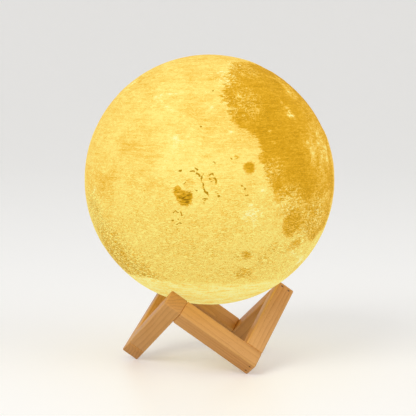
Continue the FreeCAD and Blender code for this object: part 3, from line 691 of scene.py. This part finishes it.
GLOW_STOPS = [
    (0.00, (130, 92, 8)), (0.12, (178, 134, 20)), (0.30, (218, 161, 20)), (0.46, (240, 184, 48)),
    (0.62, (251, 208, 96)), (0.76, (255, 226, 118)), (0.88, (255, 242, 138)),
    (1.00, (255, 252, 180)),
]
GLOW_STRENGTH = 0.64
PRINT_SHARE = 0.36              # of the glow's colour, where the studio's light falls on it
PRINT_ROUGHNESS = 0.7
PRINT_GLOSS = 0.06
PRINT_RELIEF = 0.00015          # of the threads and layers, in metres

# The print's marks: how each is stretched, and its noise's cells in a metre.
THREAD_STRETCH = (0.9, 0.9, 3.2)
THREAD_SCALE = 520.0
FLECK_SCALE = 260.0
GRAIN_SCALE = 1500.0
LAYER_STRETCH = (0.05, 0.05, 1.0)
LAYER_SCALE = 1300.0
STREAK_STRETCH = (0.25, 0.25, 1.6)
STREAK_SCALE = 500.0
WEB_SCALE = 250.0

# What the marks do to the level, from 0, dark, to 1, bright. Of two weights, the first goes with a
# field, the country's roughness or the print's smooth end, and the second counts everywhere.
THREAD_EDGE = 0.05
THREAD_LEVELS = (-0.52, 0.12)   # in a thread's middle and beside it
WEAVE_SLOPE = 2.2
WEAVE_TOP = 0.16
WEAVE_LIFT = 0.135
WEAVE_WEIGHTS = (1.2, 0.02)     # roughness
LAYER_WEIGHTS = (-0.36, 0.34)   # roughness
STREAK_WEIGHTS = (-0.5, 0.5)    # roughness
SMOOTH_STREAKS = 0.45
GRAIN_WEIGHTS = (0.3, 0.24)     # smooth end
LAND_TOP = (0.12, 0.83)         # smooth end
LAND_BOTTOM = 0.16
SEA_SHADE = 0.31
SEA_TEXTURE = 0.75
SEA_COUNTRY = 0.18              # how much of the land's broad shades the seas have
SHORE_FLECKS = (24.0, 9.0)      # how far flecks shift a broken shore, and any, in degrees
SHORE_EDGE = 1.1                # degrees
PALE_FLECKS = (5.0, 1.0)
STREWN_FLECKS = (0.54, 0.66)    # the flecks that lie on the seas along a broken shore
STREWN_LIGHT = 0.24
WEB_EDGES = (0.005, 0.03)
WEB_LIGHT = 0.22

# The drawn strokes and marks; edges and raggedness in degrees.
WANDER_SCALE = 500.0            # cells in a metre
WANDER = 0.0024                 # metres
BRIGHT_EDGE = 0.3
MARK_SHADE = 0.28
MARK_FLECKS = 2.2               # in its shade
MARK_RAGGED = 6.0
MARK_EDGE = 0.2
STROKE_SHADE = 0.15
STROKE_RAGGED = 1.5
STROKE_EDGE = 0.15


def print_texture(finish, rough, smooth):
    """The print's threads, its layers, and what they add to the level with grains and streaks."""
    threads = finish.noise(finish.place(THREAD_STRETCH), THREAD_SCALE, detail=2.5, distortion=0.6)
    grains = finish.noise(finish.place(), GRAIN_SCALE, detail=1.5)
    layers = finish.noise(finish.place(LAYER_STRETCH), LAYER_SCALE, detail=1.0)
    streaks = finish.noise(finish.place(STREAK_STRETCH), STREAK_SCALE, detail=2.5)

    wave = finish.centred(threads)
    thread = finish.span(finish.calc("ABSOLUTE", wave), 0.0, THREAD_EDGE, *THREAD_LEVELS)
    weave = finish.times(wave, WEAVE_SLOPE, thread)
    weave = finish.plus(finish.calc("MINIMUM", weave, WEAVE_TOP), WEAVE_LIFT)
    weave = finish.times(weave, finish.times(rough, *WEAVE_WEIGHTS))
    grains = finish.times(finish.centred(grains), finish.times(smooth, *GRAIN_WEIGHTS))
    lines = finish.times(finish.centred(layers), finish.times(rough, *LAYER_WEIGHTS))
    streaked = finish.times(smooth, SMOOTH_STREAKS, finish.times(rough, *STREAK_WEIGHTS))
    lines = finish.times(finish.centred(streaks), streaked, lines)
    texture = finish.plus(weave, finish.plus(grains, lines))
    return weave, layers, texture


def country_level(finish, texture, flecks, smooth):
    """How bright the glow is on land and sea, with the flecks along the shores."""
    shade, broken, fleck = finish.field("shade"), finish.field("broken"), finish.centred(flecks)
    swing = finish.times(broken, *SHORE_FLECKS)
    shore = finish.times(fleck, swing, finish.field("sea"))
    sea = finish.inside(shore, SHORE_EDGE)
    top = finish.times(smooth, *LAND_TOP)
    land = finish.calc("MINIMUM", finish.plus(shade, texture), top)
    land = finish.calc("MAXIMUM", land, LAND_BOTTOM)
    calm = finish.times(texture, SEA_TEXTURE, SEA_SHADE)
    calm = finish.times(finish.calc("SUBTRACT", shade, LAND_SHADE), SEA_COUNTRY, calm)
    level = finish.blend(sea, land, calm)

    pale = finish.times(fleck, *PALE_FLECKS)
    pale = finish.times(finish.field("pale"), pale)
    strewn = finish.times(broken, finish.span(flecks, *STREWN_FLECKS))
    level = finish.times(strewn, STREWN_LIGHT, finish.plus(level, pale))
    webs = finish.noise(finish.place(), WEB_SCALE, distortion=1.2)
    web = finish.span(finish.calc("ABSOLUTE", finish.centred(webs)), *WEB_EDGES, 1.0, 0.0)
    web = finish.times(web, finish.field("web"))
    return finish.times(web, WEB_LIGHT, level)


def marks_over(finish, level, flecks):
    """The level with the drawn marks on it: bright strokes, small dark marks and dark strokes."""
    fleck = finish.centred(flecks)
    wander = finish.noise(finish.place(), WANDER_SCALE, detail=2.0, roughness=0.5, output="Color")
    wander = finish.vector("SUBTRACT", wander, (0.5, 0.5, 0.5))
    where = finish.node("VectorMath", [
        (0, wander), (1, (WANDER, WANDER, WANDER)), (2, finish.own_place())],
        operation="MULTIPLY_ADD").outputs[0]

    for bright, width, stroke in BRIGHT_STROKES:
        line = finish.line_distance(where, lamp_points(stroke))
        depth = finish.times(line, -1.0 / DEGREE, width)
        level = finish.blend(finish.inside(depth, BRIGHT_EDGE), level, bright)

    depth = finish.times(fleck, MARK_RAGGED, finish.field("marks"))
    dark = finish.times(fleck, MARK_FLECKS, MARK_SHADE)
    level = finish.blend(finish.inside(depth, MARK_EDGE), level, dark)

    apart = 1.0     # further than any place is from a stroke
    for stroke in DARK_STROKES:
        line = finish.line_distance(where, lamp_points(stroke))
        apart = finish.calc("MINIMUM", apart, line)
    depth = finish.times(fleck, STROKE_RAGGED, finish.times(apart, -1.0 / DEGREE, STROKE_WIDTH))
    return finish.blend(finish.inside(depth, STROKE_EDGE), level, STROKE_SHADE)


def moon_print():
    """The glow through the print, by the globe's fields and the print's own marks."""
    finish = Finish("moon_print", Roughness=PRINT_ROUGHNESS, Emission_Strength=GLOW_STRENGTH,
                    Specular_IOR_Level=PRINT_GLOSS)
    smooth = finish.field("smooth")
    flecks = finish.noise(finish.place(THREAD_STRETCH), FLECK_SCALE, detail=4.5, roughness=0.75,
                          distortion=0.6)
    weave, layers, texture = print_texture(finish, finish.field("rough"), smooth)
    level = country_level(finish, texture, flecks, smooth)
    glow = finish.ramp(marks_over(finish, level, flecks), GLOW_STOPS)
    finish.feed("Emission Color", glow)
    lit = (PRINT_SHARE, PRINT_SHARE, PRINT_SHARE, 1.0)
    finish.feed("Base Color", finish.mix(1.0, glow, lit, blend="MULTIPLY"))
    layers = finish.times(layers, 0.5)
    finish.bump(finish.plus(finish.times(weave, 1.5), layers), PRINT_RELIEF, 0.6)
    return finish.material


# ---- the other finishes

WOOD_PALE = (212, 152, 76)
WOOD_MID = (192, 128, 54)
WOOD_DARK = (146, 88, 32)
# The colour of the painted highlight along the bars' arrises.
WOOD_ARRIS_HIGHLIGHT = (236, 188, 112)     # on the arrises
TREE_MIDDLE = (0.031, 0.022)    # the tree's middle, beside a bar's own corner
RING_SPACING = 0.0021
RING_WANDER = 2.6               # in rings
# The wood's noises: cells in a metre across the grain, twice, and along it.
RING_WAVES = (70.0, 70.0, 14.0)
FIBRES = (2400.0, 2400.0, 70.0)
PORES = (3800.0, 3800.0, 420.0)
PATCHES = (90.0, 90.0, 16.0)
PORE_SPAN = (0.62, 0.72, 0.0, 0.30)
END_DARKNESS = 0.22
# How strongly the painted highlight lightens the arrises.
ARRIS_HIGHLIGHT_SHARE = 0.4


def bar_wood():
    """Pale hardwood with its year rings and fibres along each bar, rings across its ends, and a
    painted highlight along its arrises.
    """
    finish = Finish("bar_wood", Roughness=0.5)
    where = finish.field("grain", "Vector")

    def timber(stretch, detail):
        return finish.noise(finish.place(stretch, where), 1.0, detail=detail)

    split = finish.node("SeparateXYZ", [(0, where)])
    x = finish.plus(split.outputs[0], TREE_MIDDLE[0])
    y = finish.plus(split.outputs[1], TREE_MIDDLE[1])
    square = finish.plus(finish.times(x, x), finish.times(y, y))
    turns = finish.times(finish.calc("SQRT", square), 1.0 / RING_SPACING)
    turns = finish.times(timber(RING_WAVES, 2.0), RING_WANDER, turns)
    rings = finish.calc("POWER", finish.calc("FRACT", turns), 3.0)
    fibres, patches = timber(FIBRES, 3.0), timber(PATCHES, 2.0)
    level = finish.times(rings, 0.30, finish.times(fibres, 0.50))
    level = finish.plus(level, finish.times(patches, 0.50, -0.22))
    level = finish.plus(level, finish.span(timber(PORES, 1.0), *PORE_SPAN))
    level = finish.times(finish.field("end"), END_DARKNESS, level)
    colour = finish.ramp(level, [(0.12, WOOD_PALE), (0.50, WOOD_MID), (0.95, WOOD_DARK)])
    # Painted highlight: the wood is lightened towards every arris.
    arris_highlight = finish.times(finish.field("edge"), ARRIS_HIGHLIGHT_SHARE)
    finish.feed("Base Color", finish.mix(arris_highlight, colour, linear(WOOD_ARRIS_HIGHLIGHT)))
    finish.feed("Roughness", finish.span(level, 0.2, 0.9, 0.42, 0.62))
    finish.bump(finish.times(rings, -0.4, fibres), 0.00006, 0.8)
    return finish.material


def worn_metal(name, colour, brushed=(1.0, 1.0, 40.0), roughness=(0.22, 0.42)):
    """Metal with fine streaks that run one way and slightly dull spots."""
    finish = Finish(name, Metallic=1.0)
    streaks = finish.noise(finish.place(brushed), 160.0)
    spots = finish.noise(finish.place(), 90.0, detail=2.0)
    finish.feed("Base Color", finish.mix(spots, linear(dimmed(colour, 0.82)), linear(colour)))
    finish.feed("Roughness", finish.span(streaks, 0.3, 0.7, *roughness))
    finish.bump(streaks, 0.00002, 0.5)
    return finish.material


def moulded(name, colour, roughness=0.45, grain=1800.0, depth=0.00003):
    """Moulded plastic with a fine spark-eroded grain and slightly uneven colour."""
    finish = Finish(name, Roughness=roughness)
    fine = finish.noise(finish.place(), grain)
    broad = finish.noise(finish.place(), 60.0, detail=2.0)
    level = finish.plus(finish.times(fine, 0.5), finish.times(broad, 0.5))
    finish.feed("Base Color", finish.mix(level, linear(dimmed(colour, 0.88)), linear(colour)))
    finish.bump(fine, depth, 0.6)
    return finish.material


def printed_board(name, colour, track):
    """A circuit board: lacquer over copper tracks."""
    finish = Finish(name, Roughness=0.28, Coat_Weight=0.3)
    tracks = finish.node("TexBrick", [
        ("Vector", finish.place((420.0, 1.0, 420.0))), ("Color1", (1, 1, 1, 1)),
        ("Color2", (0.6, 0.6, 0.6, 1)), ("Mortar", (0, 0, 0, 1)), ("Scale", 1.0),
        ("Mortar Size", 0.04)]).outputs["Fac"]
    finish.feed("Base Color", finish.mix(tracks, linear(colour), linear(track)))
    finish.bump(tracks, 0.00003, 0.5)
    return finish.material


def lit_plastic(name, colour, strength):
    """Milky plastic that glows in its own colour."""
    finish = Finish(name, Roughness=0.4, Emission_Strength=strength)
    fine = finish.noise(finish.place(), 700.0, detail=2.0)
    glow = finish.mix(fine, linear(dimmed(colour, 0.9)), linear(colour))
    finish.feed("Base Color", glow)
    finish.feed("Emission Color", glow)
    finish.bump(fine, 0.00002, 0.4)
    return finish.material


# ---- the stand

BEVEL = 0.00016
SHARP_SOLID_EDGE = 20.0         # degrees
SHARP_WOOD_EDGE = 35.0
HIGHLIGHT_BAND = (0.0003, 0.0012)    # how far from an arris the painted highlight reaches: wholly, and at all
TIMBER_SHIFT = (0.007, -0.004, 0.13)  # from one bar's place in the tree to the next one's


def cube_axes(step):
    """The stand's cube axes, 120 degrees apart round the vertical, starting towards -X."""
    axes = []
    for number in STEPS:
        angle = math.pi + (number + step) * 2.0 * math.pi / 3.0
        flat = math.sqrt(2.0 / 3.0)
        axes.append(Vector((flat * math.cos(angle), flat * math.sin(angle), 1.0 / math.sqrt(3.0))))
    return axes


def bar_matrix(step, rising):
    """A bar's own axes: Z along it, towards the end that brads cross along Y."""
    first, second, third = cube_axes(step)
    if rising:
        corner = first * BAR_LENGTH + second * BAR_WIDTH
        axes = (third, first, second)
    else:
        corner = second * RING_EDGE + first * BAR_LENGTH
        axes = (-second, third, -first)
    corner.z += CUBE_FOOT
    made = Matrix(axes).transposed().to_4x4()
    made.translation = corner
    return made


def eased_mesh(node):
    """A bar's solid as one clean mesh, with its edges rounded over."""
    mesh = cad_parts[node].data.copy()
    made = bmesh.new()
    made.from_mesh(mesh)
    bmesh.ops.remove_doubles(made, verts=made.verts, dist=1e-6)
    bmesh.ops.dissolve_limit(made, angle_limit=math.radians(1.0), verts=made.verts,
                             edges=made.edges)
    sharp = [edge for edge in made.edges if len(edge.link_faces) == 2
             and edge.calc_face_angle() > math.radians(SHARP_SOLID_EDGE)]
    bmesh.ops.bevel(made, geom=sharp, offset=BEVEL, segments=2, profile=0.5, affect="EDGES",
                    clamp_overlap=True)
    bmesh.ops.triangulate(made, faces=made.faces)
    made.to_mesh(mesh)
    made.free()
    return mesh


def wooden_bar(node, step, rising, number, material):
    """A bar on its solid's own corners, with painted highlights on its arrises and its own bit of
    timber's grain.
    """
    mesh = eased_mesh(node)
    mesh.name = f"{node}_wood"
    give_material(mesh, material)
    shade_smooth(mesh)
    mesh.set_sharp_from_angle(angle=math.radians(SHARP_WOOD_EDGE))
    matrix = bar_matrix(step, rising)
    back, along = matrix.inverted(), matrix.col[2].xyz
    own = np.array([back @ vertex.co for vertex in mesh.vertices])
    set_field(mesh, "grain", own + np.array(TIMBER_SHIFT) * number)
    end = mesh.attributes.new("end", "FLOAT", "CORNER")
    for polygon in mesh.polygons:
        for corner in polygon.loop_indices:
            end.data[corner].value = float(abs(polygon.normal @ along) > 0.9)
    # The 'edge' field: how much painted highlight each point gets, full on an arris and none
    # further in.
    spare = np.minimum(own[:, :2], BAR_WIDTH - own[:, :2])
    set_field(mesh, "edge", fade(*HIGHLIGHT_BAND, np.max(spare, axis=1)))
    return stood_for(placed(f"{node}_wood", mesh), "stand", "wood", node)


# ---- brads, by geometry nodes

BRAD_INPUTS = {"Width": "Float", "Thickness": "Float", "Length": "Float", "Spacing": "Float",
               "Start": "Vector", "Corner": "Vector", "Turn": "Vector", "Finish": "Material"}


def brad_tree():
    """Six brads: a row of two, put in a bar's place, and that three times round the vertical."""
    tree = bpy.data.node_groups.new("brad_rows", "GeometryNodeTree")
    sockets = {name: tree.interface.new_socket(name, in_out="INPUT",
                                               socket_type=f"NodeSocket{kind}")
               for name, kind in BRAD_INPUTS.items()}
    tree.interface.new_socket("Geometry", in_out="OUTPUT", socket_type="NodeSocketGeometry")
    given = tree.nodes.new("NodeGroupInput").outputs

    def add(kind, *inputs, **properties):
        return add_node(tree, kind, inputs, **properties).outputs[0]

    size = add("ShaderNodeCombineXYZ", ("X", given["Width"]), ("Y", given["Length"]),
               ("Z", given["Thickness"]))
    brad = add("GeometryNodeMeshCube", ("Size", size))
    apart = add("ShaderNodeCombineXYZ", ("X", given["Spacing"]))
    row = add("GeometryNodeMeshLine", ("Count", 2), ("Start Location", given["Start"]),
              ("Offset", apart))
    pair = add("GeometryNodeInstanceOnPoints", ("Points", row), ("Instance", brad))
    pair = add("GeometryNodeTransform", ("Geometry", pair), ("Translation", given["Corner"]),
               ("Rotation", given["Turn"]))
    centre = add("GeometryNodeMeshLine", ("Count", len(STEPS)), ("Offset", (0.0, 0.0, 0.0)))
    turned = add("ShaderNodeMath", (0, add("GeometryNodeInputIndex")),
                 (1, 2.0 * math.pi / len(STEPS)), operation="MULTIPLY")
    about = add("ShaderNodeCombineXYZ", ("Z", turned))
    ring = add("GeometryNodeInstanceOnPoints", ("Points", centre), ("Instance", pair),
               ("Rotation", about))
    real = add("GeometryNodeRealizeInstances", (0, ring))
    add_node(tree, "NodeGroupOutput", [
        (0, add("GeometryNodeSetMaterial", ("Geometry", real), ("Material", given["Finish"])))])
    return tree, {name: socket.identifier for name, socket in sockets.items()}


def grown(name, tree, identifiers, values):
    """The plain mesh that a tree makes from its named inputs."""
    holder = placed(f"{name}_holder", bpy.data.meshes.new(f"{name}_seed"))
    modifier = holder.modifiers.new("grown", "NODES")
    modifier.node_group = tree
    for key, value in values.items():
        modifier[identifiers[key]] = value
    holder.update_tag()
    graph = bpy.context.evaluated_depsgraph_get()
    mesh = bpy.data.meshes.new_from_object(holder.evaluated_get(graph))
    mesh.name = name
    bpy.data.objects.remove(holder)
    return placed(name, mesh)


def brads(name, rising, tree, identifiers, material, node):
    """The brads of the tips or of the feet."""
    place = bar_matrix(0, rising)
    depth = BAR_WIDTH - BRAD_SET - BRAD_LENGTH / 2.0 if rising else BRAD_SET + BRAD_LENGTH / 2.0
    start = (BAR_WIDTH / 2.0 - BRAD_SPACING / 2.0, depth, BAR_LENGTH - BRAD_INSET)
    item = grown(name, tree, identifiers, {
        "Width": BRAD_WIDTH, "Thickness": BRAD_THICKNESS, "Length": BRAD_LENGTH,
        "Spacing": BRAD_SPACING, "Start": start, "Corner": tuple(place.translation),
        "Turn": tuple(place.to_euler("XYZ")), "Finish": material,
    })
    return stood_for(item, "stand", "brads", node)


def dress(material, *names):
    """The finish of CAD nodes that keep their own shape."""
    for name in names:
        give_material(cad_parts[name].data, material)


# ---- the studio

FLOOR_FLAT = 1.6
FLOOR_CURVE = 1.0
FLOOR_STEPS = 16
FLOOR_COLUMNS = 96
FLOOR_COLOUR = (230, 229, 227)
FLOOR_LIFT = 0.26               # how much paler the floor looks than its light makes it
WORLD_STRENGTH = 0.62


def studio_floor():
    """A round floor that curves up into a wall, all of one colour."""
    profile = [(FLOOR_FLAT, 0.0)]
    for number in range(1, FLOOR_STEPS + 1):
        angle = math.pi / 2.0 * number / FLOOR_STEPS
        profile.append((FLOOR_FLAT + FLOOR_CURVE * math.sin(angle),
                        FLOOR_CURVE * (1.0 - math.cos(angle))))
    turns = [2.0 * math.pi * column / FLOOR_COLUMNS for column in range(FLOOR_COLUMNS)]
    points = [(0.0, 0.0, 0.0)]
    for radius, z in profile:
        points += [(radius * math.cos(turn), radius * math.sin(turn), z) for turn in turns]
    columns = [(column, (column + 1) % FLOOR_COLUMNS) for column in range(FLOOR_COLUMNS)]
    faces = [(0, 1 + here, 1 + after) for here, after in columns]
    for ring in range(len(profile) - 1):
        low, high = 1 + ring * FLOOR_COLUMNS, 1 + (ring + 1) * FLOOR_COLUMNS
        faces += [(low + here, high + here, high + after, low + after) for here, after in columns]
    floor = mesh_object("studio_floor", points, faces)
    finish = Finish("studio_floor", Roughness=0.4, Base_Color=linear(FLOOR_COLOUR),
                    Emission_Color=linear(FLOOR_COLOUR))
    path = finish.node("LightPath").outputs
    seen = finish.calc("MAXIMUM", path["Is Camera Ray"], path["Is Glossy Ray"])
    seen = finish.calc("MAXIMUM", seen, path["Is Transmission Ray"])
    finish.feed("Emission Strength", finish.times(seen, FLOOR_LIFT))
    give_material(floor.data, finish.material)


def soft_box(name, place, size, power):
    """A square light that points at the globe."""
    light = bpy.data.lights.new(name, "AREA")
    light.size = size
    light.energy = power
    item = placed(name, light)
    item.location = place
    aim = Vector((0.0, 0.0, GLOBE_CENTRE)) - item.location
    item.rotation_euler = aim.to_track_quat("-Z", "Y").to_euler()


def studio_light():
    world = bpy.data.worlds.new("studio")
    world.use_nodes = True
    sky = world.node_tree.nodes["Background"].inputs
    sky["Color"].default_value = (1.0, 1.0, 1.0, 1.0)
    sky["Strength"].default_value = WORLD_STRENGTH
    bpy.context.scene.world = world
    soft_box("key", (-0.9, -1.1, 1.3), 0.9, 14.0)
    soft_box("fill", (1.1, -0.7, 0.8), 1.0, 5.0)


# The camera was fitted to the bars' corners and the globe's outline.
CAMERA_DISTANCE = 0.7226
CAMERA_AZIMUTH = -1.646
CAMERA_DOWN = 5.417
CAMERA_ROLL = -0.01043
CAMERA_AIM = (-0.00073, 0.0, 0.0929)
FOCAL_PIXELS = 1196.8
FRAME_PIXELS = 416.0
SENSOR = 36.0


def camera():
    down = math.radians(CAMERA_DOWN)
    turn = Matrix.Rotation(math.radians(CAMERA_AZIMUTH), 3, "Z")
    forward = turn @ Vector((0.0, math.cos(down), -math.sin(down)))
    right = turn @ Vector((1.0, 0.0, 0.0))
    up = turn @ Vector((0.0, math.sin(down), math.cos(down)))
    tilt_cos, tilt_sin = math.cos(CAMERA_ROLL), math.sin(CAMERA_ROLL)
    axes = (right * tilt_cos - up * tilt_sin, right * tilt_sin + up * tilt_cos, -forward)
    matrix = Matrix(axes).transposed().to_4x4()
    matrix.translation = turn @ Vector(CAMERA_AIM) - forward * CAMERA_DISTANCE
    view = bpy.data.cameras.new("view")
    view.sensor_width = SENSOR
    view.lens = FOCAL_PIXELS / FRAME_PIXELS * SENSOR
    item = placed("view", view)
    item.matrix_world = matrix
    bpy.context.scene.camera = item


# ---- the lamp

globe()
wood = bar_wood()
for number, (step, rising) in enumerate(itertools.product(STEPS, (True, False))):
    wooden_bar(f"{'rising' if rising else 'falling'}_bar_{step + 1}", step, rising, number, wood)
steel = worn_metal("brad_steel", (120, 112, 100))
rows, row_inputs = brad_tree()
brads("tip_brad_rows", True, rows, row_inputs, steel, "tip_brads")
brads("foot_brad_rows", False, rows, row_inputs, steel, "foot_brads")

dress(moulded("collar_plastic", (242, 236, 218)), "shell_collar")
dress(moulded("housing_plastic", (234, 232, 226), roughness=0.38), "base_cup", "led_cover")
dress(worn_metal("touch_metal", (214, 214, 212), brushed=(1.0, 1.0, 24.0)), "touch_ring")
dress(worn_metal("contact_brass", (214, 178, 96)), "touch_contact")
dress(worn_metal("socket_steel", (186, 186, 188), brushed=(20.0, 1.0, 1.0)), "charging_socket")
dress(worn_metal("screw_steel", (150, 150, 152)), "cover_screws")
dress(worn_metal("cell_wrap", (190, 194, 198), roughness=(0.3, 0.5)), "battery_cell")
dress(moulded("lens_plastic", (228, 228, 218), roughness=0.12, depth=0.000005), "status_lens")
dress(moulded("chip_epoxy", (34, 34, 36), roughness=0.5), "board_chips")
dress(moulded("foam_tape", (206, 206, 200), roughness=0.9, grain=900.0, depth=0.0001),
      "battery_pad")
dress(moulded("lead_rubber", (168, 38, 30), roughness=0.42), "battery_lead", "led_lead")
dress(printed_board("board_lacquer", (18, 92, 48), (40, 128, 70)), "main_board")
dress(printed_board("plate_lacquer", (236, 236, 230), (214, 214, 206)), "led_board")
dress(lit_plastic("led_phosphor", (255, 214, 110), 1.0), "led_chips")
dress(lit_plastic("milky_cap", (255, 240, 205), 0.8), "diffuser_cap")

studio_floor()
studio_light()
camera()
bpy.context.scene.view_settings.view_transform = "Standard"
